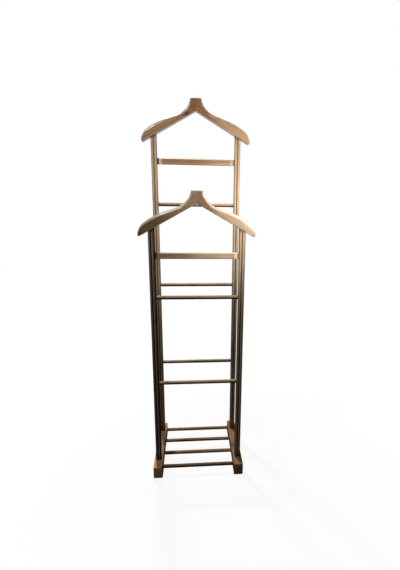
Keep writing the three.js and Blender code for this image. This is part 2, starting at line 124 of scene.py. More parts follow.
# Numbers of steps along curves and round edges
EDGE_STEPS = 7
NECK_STEPS = 6
FLARE_STEPS = 28
SHOULDER_STEPS = 30
TIP_STEPS = 20
TIP_CORNER_STEPS = 8
BEAD_STEPS = 14
RAIL_SHOULDER_STEPS = 12
FOOT_CORNER_STEPS = 8
ARCH_STEPS = 12
DOWEL_SIDES = 40
GLIDE_SIDES = 48
# Points on a long straight edge, as shares of it, so that its shading stays even
STRAIGHT_SHARES = (0.25, 0.5, 0.75)
# Edges sharper than this many degrees aren't smoothed, and large faces lead the shading
SMOOTH_ANGLE = 40
POST_SMOOTH_ANGLE = 50
LARGE_FACE_WEIGHT = 100
# Each arm's own frame is this far from the middle, and as far below the neck's top
ARM_ORIGIN = 90
# A cut this far from the middle keeps the neck joint's mark narrow
NECK_JOINT_CUT = 1.1
# How near to a cutting plane a point counts as on it, in metres
CUT_TOLERANCE = 1e-7
# Rings along a post: the first above the foot, the step, and the two last below the top
POST_RINGS_FROM = 40
POST_RING_STEP = 60
POST_RINGS_TO = 20
POST_LAST_RING = 6
# Points on a post's side face, as shares of its flat half depth
POST_SIDE_SHARES = (0.6, -0.6)
# Points along a flat rail's half length, as shares of it
RAIL_SHARES = (0.35, 0.7)
# How far a rail reaches into a post or foot
RAIL_REACH = 5.0
# A round rail's rings: beyond the face that it goes into, just inside it, and the even ones
# between its ends
DOWEL_BEYOND = 0.1
DOWEL_INSIDE = 1.5
DOWEL_EVEN_FROM = 12
DOWEL_EVEN_RINGS = 25
# A round rail's waves: their height as a share of the radius, and their two lengths
WAVE_SHARE = 0.004
WAVE_LENGTHS = (23, 61)
# Radius and height of each ring of a glide, from its hollow middle to its stem
GLIDE_PROFILE = [(0.4, 0.35), (6.5, 0.35), (7.0, 0.0), (11.2, 0.0), (12.2, 0.25), (12.8, 0.8),
                 (13.0, 1.5), (13.0, 2.3), (12.7, 2.7), (2.5, 2.7), (2.5, 16.0), (1.5, 17.0)]

# How wide the marks in the material are, in millimetres, dark joints, painted shade and painted
# highlights alike: the width over which a mark fades out and how far it keeps its full strength
# before that

POST_FOOT_MARK = (5.0, 0.0)
POST_TOP_SHADOW = (9.0, 0.4)
GROOVE_SHADE_MARK = (3.4, 1.4)
ARRIS_FADE = 2.6
ARRIS_FULL = 0.3
CREST_HIGHLIGHT_MARK = (2.5, 0.5)
NECK_JOINT_MARK = (0.8, 0.0)
LOWER_EDGE_SHADE_WIDTH = (2.2, 0.0)
DOWEL_END_MARK = (3.0, 0.0)
# How dark the marks are: the neck's glue line, and the painted shade at the tenons, round rails'
# undersides and feet
NECK_JOINT_DARK = 0.2
TENON_SHADE = {"left": 1.0, "right": 0.3}
UNDERSIDE_SHADE = 1.6
TOE_SHADE = 1.5
FOOT_INNER_SHADE = 0.7
# A foot's painted shade at the toe: how far in it reaches, how high, and how high the shaded band
# beneath it is
TOE_DEPTH = 3.9
TOE_HEIGHT = 11.0
FOOT_SHADE_BAND = 6.6
# The angle at which an edge starts to wear, and the further one over which it is fully worn, in
# radians
WEAR_RISE = (0.17, 0.05)
# Vertices whose grime and painted shade mark is as dark as this don't wear
WEAR_FREE = 0.2
# How far a face has to look up or outwards to take a painted highlight, and the range over which
# it does: on a hanger's rim, a flat rail's top and a round rail's top
RIM_RISE = (0.15, 0.3)
RAIL_TOP_RISE = (0.1, 0.15)
ROD_TOP_RISE = (0.2, 0.6)
# A hanger's rim takes its painted highlight outwards less than upwards, not this near to the neck
# joint, and not where it looks further down than this
RIM_SIDEWAYS = 0.8
RIM_JOINT_CLEAR = 2.0
RIM_LOWEST = -0.3
# The range over which a round rail's underside turns dark with painted shade, in radii
UNDERSIDE_RANGE = 0.25
# Points within this much of a post's face count as on it
ON_FACE = 0.01
# A tenon's painted shade starts this far before its shoulder's end
TENON_LEAD = 1.0
# How far the painted highlight of a rail's shoulder and the painted shade of a foot's inner face
# keep from its next point
FACE_MARGIN = 0.5


# Colours and tables of the pieces' looks


def srgb(r, g, b):
    def linear(c):
        c /= 255
        return c / 12.92 if c <= 0.04045 else ((c + 0.055) / 1.055) ** 2.4

    return (linear(r), linear(g), linear(b), 1.0)


WOOD = srgb(186, 151, 118)
PALE_WOOD = srgb(186, 158, 128)
RAIL_WOOD = srgb(186, 164, 134)
POST_WOOD = srgb(186, 157, 126)
FOOT_WOOD = srgb(186, 146, 108)
PIN_WOOD = srgb(205, 170, 128)
# Each wooden piece's base colour, its tone and how strong its grain is. The tones are partly
# painted light and shade of where the light falls: the front left arm and post darker, the left
# foot lighter
LOOKS = {
    "front_left_hanger_arm": (PALE_WOOD, 0.7, 1.3),
    "front_right_hanger_arm": (PALE_WOOD, 0.98, 1.2),
    "rear_left_hanger_arm": (WOOD, 1.12, 1.9),
    "rear_right_hanger_arm": (WOOD, 1.56, 1.9),
    "front_left_post": (POST_WOOD, 0.4, 0.4),
    "front_right_post": (POST_WOOD, 1.25, 0.4),
    "rear_left_post": (POST_WOOD, 1.38, 0.4),
    "rear_right_post": (POST_WOOD, 1.2, 0.4),
    "front_flat_rail": (RAIL_WOOD, 1.38, 0.9),
    "rear_flat_rail": (PALE_WOOD, 1.1, 1.8),
    "left_foot": (FOOT_WOOD, 1.9, 0.7),
    "right_foot": (FOOT_WOOD, 0.95, 0.8),
    "front_upper_round_rail": (PALE_WOOD, 1.2, 0.4),
    "front_lower_round_rail": (PALE_WOOD, 1.2, 0.4),
    "rear_upper_round_rail": (PALE_WOOD, 1.0, 0.4),
    "rear_middle_round_rail": (PALE_WOOD, 1.15, 0.4),
    "rear_lower_round_rail": (PALE_WOOD, 1.0, 0.4),
    "shoe_rack_rail_1": (WOOD, 0.55, 0.4),
    "shoe_rack_rail_2": (WOOD, 1.45, 0.4),
    "shoe_rack_rail_3": (WOOD, 0.85, 0.4),
    "shoe_rack_rail_4": (WOOD, 1.0, 0.4),
}
# How thick the varnish is
ARM_COAT = 0.9
FLAT_RAIL_COAT = 0.6
PLAIN_COAT = 0.05
# Where a piece is darker: the middle and half length of the place along its grain in metres, how
# strong it is there, and its tint. On the front arms, the front flat rail and the front right and
# rear left posts it is painted shade, darker towards the left and towards the bottom; the rear arms
# and rear flat rail get a darker, reddish patch
REDDISH = (0.748, 0.616, 0.528)
BROWN = (0.682, 0.616, 0.55)
DARK_STRETCHES = {
    "front_left_hanger_arm": (-0.12, 0.18, 0.75, BROWN),
    "front_right_hanger_arm": (-0.11, 0.13, 1.0, (0.616, 0.572, 0.506)),
    "rear_left_hanger_arm": (0.11, 0.1, 0.75, REDDISH),
    "rear_right_hanger_arm": (-0.11, 0.13, 1.0, (0.66, 0.561, 0.484)),
    "front_flat_rail": (-0.14, 0.18, 0.8, BROWN),
    "rear_flat_rail": (-0.06, 0.16, 0.75, REDDISH),
    "front_right_post": (0.1, 0.8, 0.7, BROWN),
    "rear_left_post": (0.1, 0.8, 1.0, (0.594, 0.506, 0.44)),
}
# Where a piece has a knot, in metres in its grain's frame
KNOTS = {"rear_left_hanger_arm": (0.060, -0.012, 0.004)}
# How much an arm's grain falls away from the middle
ARM_GRAIN = math.radians(26.0)
# How dark each post's groove (dust and painted shade) and its left and right arrises (painted
# shade) are, how bright the painted highlights on its beads' crests are, and how far right of the
# middle the groove's shade is darkest and the right bead's highlight brightest
POST_LINES = {
    "front_left_post": (1.2, 1.2, 2.1, 1.0, -2.4, 2.2),
    "front_right_post": (0.95, 0.7, 2.1, 0.9, -1.6, 3.0),
    "rear_left_post": (0.85, 0.7, 0.9, 0.6, -1.2, 2.8),
    "rear_right_post": (0.75, 0.55, 0.7, 0.45, 0.6, 4.8),
}
# How bright the left bead's painted highlight is beside the right one's
LEFT_CREST = 0.6
# How bright the painted highlight on each hanger arm's rounded rim is, and on the top of every neck
RIM_HIGHLIGHTS = {
    "front_left_hanger_arm": 0.85,
    "front_right_hanger_arm": 0.75,
    "rear_left_hanger_arm": 0.5,
    "rear_right_hanger_arm": 0.55,
}
NECK_HIGHLIGHT = 1.0
# How bright the painted highlight on the round rails' tops is in the frames
ROD_TOP_HIGHLIGHT = 0.4
# How dark the painted shade on the lower edges of each frame's hanger is
LOWER_EDGE_SHADE = {"front": 1.0, "rear": 0.0}
# How bright the painted highlight on each flat rail's left (False) and right (True) shoulder is
SHOULDER_HIGHLIGHTS = {
    ("front", False): 0.0,
    ("front", True): 1.0,
    ("rear", False): 1.0,
    ("rear", True): 0.35,
}

# Beech: its colours, as factors of a piece's base colour

RING_LIGHT = (1.12, 1.12, 1.12)
RING_DARK = (0.80, 0.76, 0.70)
DEEP_STREAK = (0.60, 0.48, 0.38)
WARM_PATCH = (1.04, 0.86, 0.72)
KNOT_CORE = (0.16, 0.12, 0.10)
# Near black for grime in the joints and for painted shade
GRIME_AND_SHADE_COLOUR = (0.03, 0.025, 0.02)
# The pale colour of worn edges and of the painted highlights: a share of the base colour, and what
# is added to it
PALE_SHARE = 0.9
PALE_LIFT = (0.46, 0.44, 0.34)
# Its noises: the scales along and across the grain per metre, the detail and the roughness
WANDER_NOISE = ((3.0, 9.0, 9.0), 2.0)
RING_NOISE = ((4.0, 60.0, 60.0), 2.0)
FIBRE_NOISE = ((22.0, 900.0, 900.0), 3.0, 0.65)
STREAK_NOISE = ((3.2, 95.0, 95.0), 3.0, 0.6)
PATCH_NOISE = ((4.5, 14.0, 14.0), 2.0)
HUE_NOISE = ((3.0, 20.0, 20.0), 1.0)
FLECK_NOISE = ((320.0, 1500.0, 2600.0), 1.0)
RUB_NOISE = ((60.0, 160.0, 160.0), 3.0, 0.7)
SMEAR_NOISE = ((14.0, 40.0, 40.0), 3.0, 0.6)
GRIME_AND_SHADE_NOISE = (180.0, 2.0)
# Its ramps, as places and the grey at each: shares of a ring, values of a noise, half lengths of
# a darker stretch, and metres from the knot
RING_RAMP = ((0.0, 0.35), (0.62, 0.62), (0.93, 1.0), (1.0, 0.35))
STREAK_RAMP = ((0.42, 0.0), (0.64, 1.0))
HUE_RAMP = ((0.42, 0.0), (0.66, 1.0))
FLECK_RAMP = ((0.6, 0.0), (0.72, 1.0))
RUB_RAMP = ((0.46, 0.0), (0.64, 1.0))
DARK_STRETCH_RAMP = ((0.35, 1.0), (1.0, 0.0))
KNOT_CORE_RAMP = ((0.0, 1.0), (0.0035, 0.85), (0.009, 0.0))
KNOT_HALO_RAMP = ((0.0, 1.0), (0.03, 0.0))
# How strong each of its marks is
RING_STRENGTH = 0.7
STREAK_STRENGTH = 0.42
WARM_STRENGTH = 0.22
FLECK_STRENGTH = 0.16
KNOT_HALO_STRENGTH = 0.45
WORN_STRENGTH = 0.3
GRIME_AND_SHADE_STRENGTH = 0.98
# Brightness, cover and roughness that follow a noise: the start and the slope
FIBRE_SHADE = (0.93, 0.14)
PATCH_SHADE = (0.88, 0.24)
HIGHLIGHT_COVER = (0.7, 0.3)
GRIME_AND_SHADE_COVER = (0.45, 0.7)
SMEAR_SPREAD = 0.16
WORN_ROUGHNESS = 0.14
# How ragged a darker stretch's border is, in its half lengths
DARK_STRETCH_RAGGED = 1.2
# Where pieces are cut from the log: how far apart in metres, how far they are turned about their
# grain in radians, and how far sideways and below them the pith is in metres
LOG_REACH = 3
LOG_TURN = 6.28
PITH_SIDE = 0.05
PITH_BELOW = (-0.13, -0.07)
# The growth rings: how many per metre from the pith, how fast the trunk tapers, how far they
# wander sideways in metres, and how many rings their fine jitter spans
RINGS_PER_METRE = 360.0
TRUNK_TAPER = (0.035, 1.0, 1.0)
WANDER_REACH = (0.0, 0.022, 0.022)
RING_JITTER = 1.6
# The hue's noise is shifted away from the others
HUE_SHIFT = (7.1, 3.3, 5.9)
# How distances from a knot count along and across the grain, how fast its pull on the grain
# fades per metre, and how strong that pull is
KNOT_STRETCH = (0.55, 1.0, 1.0)
KNOT_FADE = -130.0
KNOT_PULL = -0.85
# The roughness of the wood, of the bare pins and of the varnish
WOOD_ROUGHNESS = 0.4
PIN_ROUGHNESS = 0.7
COAT_ROUGHNESS = 0.17
# How deep any material's bump is in metres, and how strong it is
BUMP_DEPTH = 0.0001
WOOD_BUMP = 0.3
PLASTIC_BUMP = 0.4
STEEL_BUMP = 0.3

# The plastic and the steel: their colours, noises, ramps and roughnesses, in the same terms

PLASTIC_DARK = (0.012, 0.011, 0.010, 1)
PLASTIC_PALE = (0.024, 0.022, 0.020, 1)
PLASTIC_ROUGHNESS = (0.42, 0.25)
CLOUD_NOISE = (220.0, 3.0, 0.6)
SCUFF_NOISE = ((900.0, 260.0, 260.0), 3.0, 0.7)
SCUFF_RAMP = ((0.55, 0.0), (0.7, 1.0))
SCUFF_GREY = (0.09, 0.085, 0.08, 1)
SCUFF_STRENGTH = 0.35
ZINC = (0.55, 0.54, 0.50, 1)
DULL_ZINC = (0.33, 0.30, 0.24, 1)
DULL_NOISE = (320.0, 4.0, 0.7)
DULL_RAMP = ((0.5, 0.0), (0.7, 1.0))
STEEL_ROUGHNESS = (0.28, 0.2)
TURNING_NOISE = ((120.0, 120.0, 2600.0), 2.0)


# Materials


def tinted(base, factors, tone_and_painted_light=1.0):
    """A colour with a factor for each channel, never past white"""
    return tuple(min(1.0, c * tone_and_painted_light * factor) for c, factor in zip(base, factors)) + (1.0,)


class Nodes:
    """Short calls for building the node tree of a material or of the world"""

    def __init__(self, owner):
        owner.use_nodes = True
        self.owner = owner
        self.tree = owner.node_tree
        self.tree.nodes.clear()

    def add(self, kind, **settings):
        node = self.tree.nodes.new(kind)
        for key, value in settings.items():
            setattr(node, key, value)
        return node

    def link(self, a, b):
        self.tree.links.new(a, b)

    def put(self, value, socket):
        if hasattr(value, "node"):
            self.link(value, socket)
        else:
            socket.default_value = value

    def math(self, operation, a, b=0.0, clamp=False):
        node = self.add("ShaderNodeMath", operation=operation, use_clamp=clamp)
        self.put(a, node.inputs[0])
        self.put(b, node.inputs[1])
        return node.outputs[0]

    def line(self, value, start, slope):
        """The start plus the slope times the value"""
        return self.math("ADD", start, self.math("MULTIPLY", value, slope))

    def vector(self, operation, a, b=None, scale=None):
        node = self.add("ShaderNodeVectorMath", operation=operation)
        self.put(a, node.inputs[0])
        if b is not None:
            self.put(b, node.inputs[1])
        if scale is not None:
            self.put(scale, node.inputs["Scale"])
        return node.outputs["Value" if operation == "LENGTH" else "Vector"]

    def noise(self, coords, scale, detail, roughness=0.5, output="Fac"):
        """Noise of one scale, or of one for each axis"""
        if hasattr(scale, "__len__"):
            coords, scale = self.vector("MULTIPLY", coords, scale), 1.0
        node = self.add("ShaderNodeTexNoise")
        self.put(coords, node.inputs["Vector"])
        node.inputs["Scale"].default_value = scale
        node.inputs["Detail"].default_value = detail
        node.inputs["Roughness"].default_value = roughness
        return node.outputs[output]

    def ramp(self, value, stops, smooth=False):
        """Each stop is a place and the grey there"""
        node = self.add("ShaderNodeValToRGB")
        node.color_ramp.interpolation = "EASE" if smooth else "LINEAR"
        elements = node.color_ramp.elements
        while len(elements) < len(stops):
            elements.new(0.5)
        for element, (place, grey) in zip(elements, stops):
            element.position = place
            element.color = (grey, grey, grey, 1)
        self.put(value, node.inputs["Fac"])
        return node.outputs["Color"]

    def mix(self, factor, a, b, blend="MIX"):
        node = self.add("ShaderNodeMix", data_type="RGBA", blend_type=blend)
        self.put(factor, node.inputs["Factor"])
        self.put(a, node.inputs["A"])
        self.put(b, node.inputs["B"])
        return node.outputs["Result"]

    def cover(self, colour, mask, strength, other, blend="MIX"):
        """Lays another colour over the first one where the mask says so"""
        return self.mix(self.math("MULTIPLY", mask, strength), colour, other, blend)

    def attribute(self, name):
        return self.add("ShaderNodeAttribute", attribute_name=name).outputs["Fac"]

    def object_coords(self):
        return self.add("ShaderNodeTexCoord").outputs["Object"]

    def surface(self, colour, roughness, bump_height, bump_strength):
        shader = self.add("ShaderNodeBsdfPrincipled")
        self.link(colour, shader.inputs["Base Color"])
        self.link(roughness, shader.inputs["Roughness"])
        bump = self.add("ShaderNodeBump")
        bump.inputs["Strength"].default_value = bump_strength
        bump.inputs["Distance"].default_value = BUMP_DEPTH
        self.link(bump_height, bump.inputs["Height"])
        self.link(bump.outputs["Normal"], shader.inputs["Normal"])
        return shader

    def choose(self, factor, a, b):
        """The first shader at 0 and the second at 1"""
        node = self.add("ShaderNodeMixShader")
        for value, socket in zip((factor, a.outputs[0], b.outputs[0]), node.inputs):
            self.link(value, socket)
        return node

    def finish(self, shader, output="ShaderNodeOutputMaterial"):
        self.link(shader.outputs[0], self.add(output).inputs["Surface"])
        return self.owner


def wood(name, seed, base, tone_and_painted_light, ring, roughness=WOOD_ROUGHNESS, coat=PLAIN_COAT, knot=None,
         slope=0.0, dark_stretch=None):
    """Varnished beech. The grain runs along the piece's own X axis, or falls away from it."""
    rng = np.random.default_rng(seed)
    n = Nodes(bpy.data.materials.new(name))
    turned = n.add("ShaderNodeMapping")
    n.link(n.object_coords(), turned.inputs["Vector"])
    turn = 0.0 if slope else float(rng.uniform(0, LOG_TURN))
    turned.inputs["Rotation"].default_value = (turn, slope, 0)
    coords = turned.outputs[0]
    offset = tuple(float(v) for v in rng.uniform(-LOG_REACH, LOG_REACH, 3))
    here = n.vector("ADD", coords, offset)

    # A slow wander of the grain, then growth rings round a pith below the piece
    wander = n.noise(here, *WANDER_NOISE, output="Color")
    bend = n.vector("MULTIPLY", n.vector("SUBTRACT", wander, (0.5, 0.5, 0.5)), WANDER_REACH)
    grain = n.vector("ADD", coords, bend)
    if knot is not None:
        # The grain flows round the knot
        away = n.vector("SUBTRACT", coords, knot)
        distance = n.vector("LENGTH", n.vector("MULTIPLY", away, KNOT_STRETCH))
        closeness = n.math("EXPONENT", n.math("MULTIPLY", distance, KNOT_FADE))
        push = n.vector("SCALE", away, scale=n.math("MULTIPLY", closeness, KNOT_PULL))
        grain = n.vector("ADD", grain, push)
    pith_side, pith_below = rng.uniform(-PITH_SIDE, PITH_SIDE), rng.uniform(*PITH_BELOW)
    pith = (0.0, float(pith_side), float(pith_below))
    out = n.vector("MULTIPLY", n.vector("SUBTRACT", grain, pith), TRUNK_TAPER)
    rings = n.math("MULTIPLY", n.vector("LENGTH", out), RINGS_PER_METRE)
    jitter = n.math("MULTIPLY", n.noise(here, *RING_NOISE), RING_JITTER)
    saw = n.math("FRACT", n.math("ADD", rings, jitter))
    ring_shade = n.ramp(saw, RING_RAMP)

    # Long fibres, dark streaks and short ray flecks
    fibre = n.noise(here, *FIBRE_NOISE)
    streak = n.noise(here, *STREAK_NOISE)
    patch = n.noise(here, *PATCH_NOISE)
    hue = n.noise(n.vector("ADD", here, HUE_SHIFT), *HUE_NOISE)
    fleck = n.ramp(n.noise(here, *FLECK_NOISE), FLECK_RAMP)

    dark = tinted(base, RING_DARK, tone_and_painted_light)
    colour = n.cover(tinted(base, RING_LIGHT, tone_and_painted_light), ring_shade, RING_STRENGTH * ring, dark)
    streaks = n.ramp(streak, STREAK_RAMP, smooth=True)
    colour = n.cover(colour, streaks, STREAK_STRENGTH * ring, tinted(base, DEEP_STREAK, tone_and_painted_light))
    warm = n.ramp(hue, HUE_RAMP)
    colour = n.cover(colour, warm, WARM_STRENGTH, tinted(base, WARM_PATCH, tone_and_painted_light))
    shade = n.math("MULTIPLY", n.line(fibre, *FIBRE_SHADE), n.line(patch, *PATCH_SHADE))
    flecked = n.math("SUBTRACT", 1.0, n.math("MULTIPLY", fleck, FLECK_STRENGTH))
    shade = n.math("MULTIPLY", shade, flecked)
    if dark_stretch is not None:
        # Darker round one place along the piece, with a ragged border: painted shade on the front
        # pieces and posts, a darker patch on the rear ones
        middle, half, strength, tint = dark_stretch
        along = n.add("ShaderNodeSeparateXYZ")
        n.link(coords, along.inputs[0])
        away = n.math("ABSOLUTE", n.math("SUBTRACT", along.outputs["X"], middle))
        ragged = n.math("MULTIPLY", n.math("SUBTRACT", patch, 0.5), DARK_STRETCH_RAGGED)
        away = n.math("ADD", n.math("DIVIDE", away, half), ragged)
        darkened = n.ramp(away, DARK_STRETCH_RAMP, smooth=True)
        colour = n.cover(colour, darkened, strength, tint + (1.0,), "MULTIPLY")
    if knot is not None:
        core = n.ramp(distance, KNOT_CORE_RAMP, smooth=True)
        halo = n.ramp(distance, KNOT_HALO_RAMP, smooth=True)
        colour = n.cover(colour, halo, KNOT_HALO_STRENGTH, dark)
        colour = n.mix(core, colour, tinted(base, KNOT_CORE))
    colour = n.vector("SCALE", colour, scale=shade)

    # Worn edges are paler and the joints darker with old varnish and dust; the same pale colour
    # makes the painted highlights and the same dark one the painted shade
    rub = n.noise(here, *RUB_NOISE)
    worn = n.math("MULTIPLY", n.attribute("edge"), n.ramp(rub, RUB_RAMP))
    wear_and_highlight = tuple(min(1.0, PALE_SHARE * c + lift) for c, lift in zip(base, PALE_LIFT)) + (1.0,)
    colour = n.cover(colour, worn, WORN_STRENGTH, wear_and_highlight)
    # Painted highlights in the pale colour, where the mesh asks for them, broken up by the rub
    # noise
    thin = n.math("MULTIPLY", n.attribute("wear_and_highlight"), n.line(rub, *HIGHLIGHT_COVER))
    colour = n.mix(thin, colour, wear_and_highlight)
    grime_and_shade_spread = n.line(n.noise(here, *GRIME_AND_SHADE_NOISE), *GRIME_AND_SHADE_COVER)
    grime_and_shade_mask = n.math("MULTIPLY", n.attribute("grime_and_shade"), grime_and_shade_spread, clamp=True)
    colour = n.cover(colour, grime_and_shade_mask, GRIME_AND_SHADE_STRENGTH, tinted(base, GRIME_AND_SHADE_COLOUR))

    smear = n.noise(here, *SMEAR_NOISE)
    matt = n.line(smear, roughness - SMEAR_SPREAD / 2, SMEAR_SPREAD)
    marked = n.math("MULTIPLY", n.math("ADD", worn, grime_and_shade_mask), WORN_ROUGHNESS)
    shader = n.surface(colour, n.math("ADD", matt, marked), fibre, WOOD_BUMP)
    shader.inputs["Specular IOR Level"].default_value = 0.0
    free_of_grime_and_shade = n.math("SUBTRACT", 1.0, grime_and_shade_mask)
    n.link(n.math("MULTIPLY", free_of_grime_and_shade, coat), shader.inputs["Coat Weight"])
    shader.inputs["Coat Roughness"].default_value = COAT_ROUGHNESS
    return n.finish(shader)


def glide_plastic():
    """Black plastic with pale scuffs"""
    n = Nodes(bpy.data.materials.new("glide_plastic"))
    coords = n.object_coords()
    cloud = n.noise(coords, *CLOUD_NOISE)
    scuff = n.noise(coords, *SCUFF_NOISE)
    colour = n.mix(cloud, PLASTIC_DARK, PLASTIC_PALE)
    colour = n.cover(colour, n.ramp(scuff, SCUFF_RAMP), SCUFF_STRENGTH, SCUFF_GREY)
    height = n.math("ADD", cloud, scuff)
    return n.finish(n.surface(colour, n.line(scuff, *PLASTIC_ROUGHNESS), height, PLASTIC_BUMP))


def screw_steel():
    """Zinc plated steel, dulled in places, with turning marks"""
    n = Nodes(bpy.data.materials.new("screw_steel"))
    coords = n.object_coords()
    turning = n.noise(coords, *TURNING_NOISE)
    dull = n.ramp(n.noise(coords, *DULL_NOISE), DULL_RAMP)
    colour = n.mix(dull, ZINC, DULL_ZINC)
    shader = n.surface(colour, n.line(turning, *STEEL_ROUGHNESS), turning, STEEL_BUMP)
    shader.inputs["Metallic"].default_value = 1.0
    return n.finish(shader)


MATERIALS = {}
for index, name in enumerate(sorted(nodes)):
    if "_pin" in name:
        MATERIALS[name] = wood(name, PIN_SEED + index, PIN_WOOD, tone_and_painted_light=1.0, ring=0.7,
                               roughness=PIN_ROUGHNESS, coat=0.0)
    elif name in LOOKS:
        coat, slope = PLAIN_COAT, 0.0
        if "arm" in name:
            coat, slope = ARM_COAT, -ARM_GRAIN if "right" in name else ARM_GRAIN
        elif "flat" in name:
            coat = FLAT_RAIL_COAT
        MATERIALS[name] = wood(name, WOOD_SEED + index, *LOOKS[name], coat=coat,
                               knot=KNOTS.get(name), slope=slope, dark_stretch=DARK_STRETCHES.get(name))
PLASTIC = glide_plastic()
STEEL = screw_steel()


# Meshes. Points are in millimetres in the row's frame, and each piece is then given its own
# frame whose X axis is the grain's direction.


def new_object(name, data):
    o = bpy.data.objects.new(name, data)
    bpy.context.scene.collection.objects.link(o)
    return o


def near(distance, fade, full):
    """1 up to the full distance, then down to 0 over the fade, fast at first"""
    return max(0.0, 1.0 - max(0.0, distance - full) / fade) ** 2


def rise(value, start, width):
    """0 up to the start, then up to 1 over the width"""
    return min(1.0, max(0.0, value - start) / width)


def bezier(a, b, c, d, steps):
    """Points along a cubic curve from a to d"""
    a, b, c, d = (np.array(p, float) for p in (a, b, c, d))
    t = np.linspace(0, 1, steps + 1)[:, None]
    return (1 - t) ** 3 * a + 3 * (1 - t) ** 2 * t * b + 3 * (1 - t) * t ** 2 * c + t ** 3 * d


def plate_rings(outline, thickness):
    """Rings of points round a plate with rounded edges; outline is [u, v, edge radius]"""
    outline = np.array(outline, float)
    flat = outline[:, :2]
    before = flat - np.roll(flat, 1, 0)
    after = np.roll(flat, -1, 0) - flat
    before /= np.linalg.norm(before, axis=1)[:, None]
    after /= np.linalg.norm(after, axis=1)[:, None]
    total = np.stack([-before[:, 1] - after[:, 1], before[:, 0] + after[:, 0]], 1)
    inward = total / (1 + (before * after).sum(1))[:, None]
    radius = outline[:, 2:3]
    rings = []
    for side in (-1, 1):
        faces = []
        for step in range(EDGE_STEPS + 1):
            angle = math.pi / 2 * step / EDGE_STEPS
            ring = np.zeros((len(outline), 3))
            ring[:, :2] = flat + inward * radius * (1 - math.cos(angle))
            ring[:, 2] = side * (thickness / 2 - radius[:, 0] * (1 - math.sin(angle)))
            faces.append(ring)
        rings += faces[::-1] if side < 0 else faces
    return rings


def circle(count, radius, x, y):
    """Points round a centre, as their two coordinates"""
    angles = np.arange(count) * 2 * math.pi / count
    return x + radius * np.cos(angles), y + radius * np.sin(angles)


def loft(rings):
    """One closed bmesh through rings of the same number of points"""
    bm = bmesh.new()
    made = [[bm.verts.new(Vector(p) * MM) for p in ring] for ring in rings]
    count = len(made[0])
    for low, high in zip(made, made[1:]):
        for i in range(count):
            j = (i + 1) % count
            bm.faces.new((low[i], low[j], high[j], high[i]))
    bm.faces.new(made[0][::-1])
    bm.faces.new(made[-1])
    bm.normal_update()
    return bm


def piece(bm, node, material, along, across, origin, grime_and_shade=None, wear_and_highlight=None,
          sharp=SMOOTH_ANGLE):
    """Turns a bmesh, in metres in the row's frame, into an object that stands for a CAD node"""
    x = Vector(along).normalized()
    z = (Vector(across) - Vector(across).dot(x) * x).normalized()
    y = z.cross(x)
    place = Matrix.Translation(Vector(origin) * MM) @ Matrix((x, y, z)).transposed().to_4x4()
    mesh = bpy.data.meshes.new(node)
    # Wear follows the curved edges; grime and painted shade lie where another piece meets this one
    # and where shade would make the wood nearly black; painted highlights lie where light catches
    # it
    bm.normal_update()
    edge = []
    grime_and_shade_marks = []
    thin = []
    for v in bm.verts:
        angles = [e.calc_face_angle_signed(0.0) for e in v.link_edges if len(e.link_faces) == 2]
        grime_and_shade_marks.append(grime_and_shade(v.co / MM) if grime_and_shade else 0.0)
        worn = rise(max(angles, default=0.0), *WEAR_RISE)
        edge.append(worn if grime_and_shade_marks[-1] < WEAR_FREE else 0.0)
        thin.append(wear_and_highlight(v.co / MM, v.normal) if wear_and_highlight else 0.0)
    bmesh.ops.transform(bm, matrix=place.inverted(), verts=bm.verts)
    bm.to_mesh(mesh)
    bm.free()
    for label, values in (("edge", edge), ("grime_and_shade", grime_and_shade_marks), ("wear_and_highlight", thin)):
        layer = mesh.attributes.new(label, "FLOAT", "POINT")
        layer.data.foreach_set("value", np.array(values, np.float32))
    mesh.shade_smooth()
    mesh.set_sharp_from_angle(angle=math.radians(sharp))
    mesh.materials.append(material)
    o = new_object(node, mesh)
    o.matrix_world = place
    weighted = o.modifiers.new("even shading", "WEIGHTED_NORMAL")
    weighted.keep_sharp = True
    weighted.weight = LARGE_FACE_WEIGHT
    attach(o, "root")
    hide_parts(node)


def underside_drop(x):
    """How far below the neck's top a hanger's straight underside is"""
    return NECK_DEPTH + UNDERSIDE_SLOPE * abs(x)


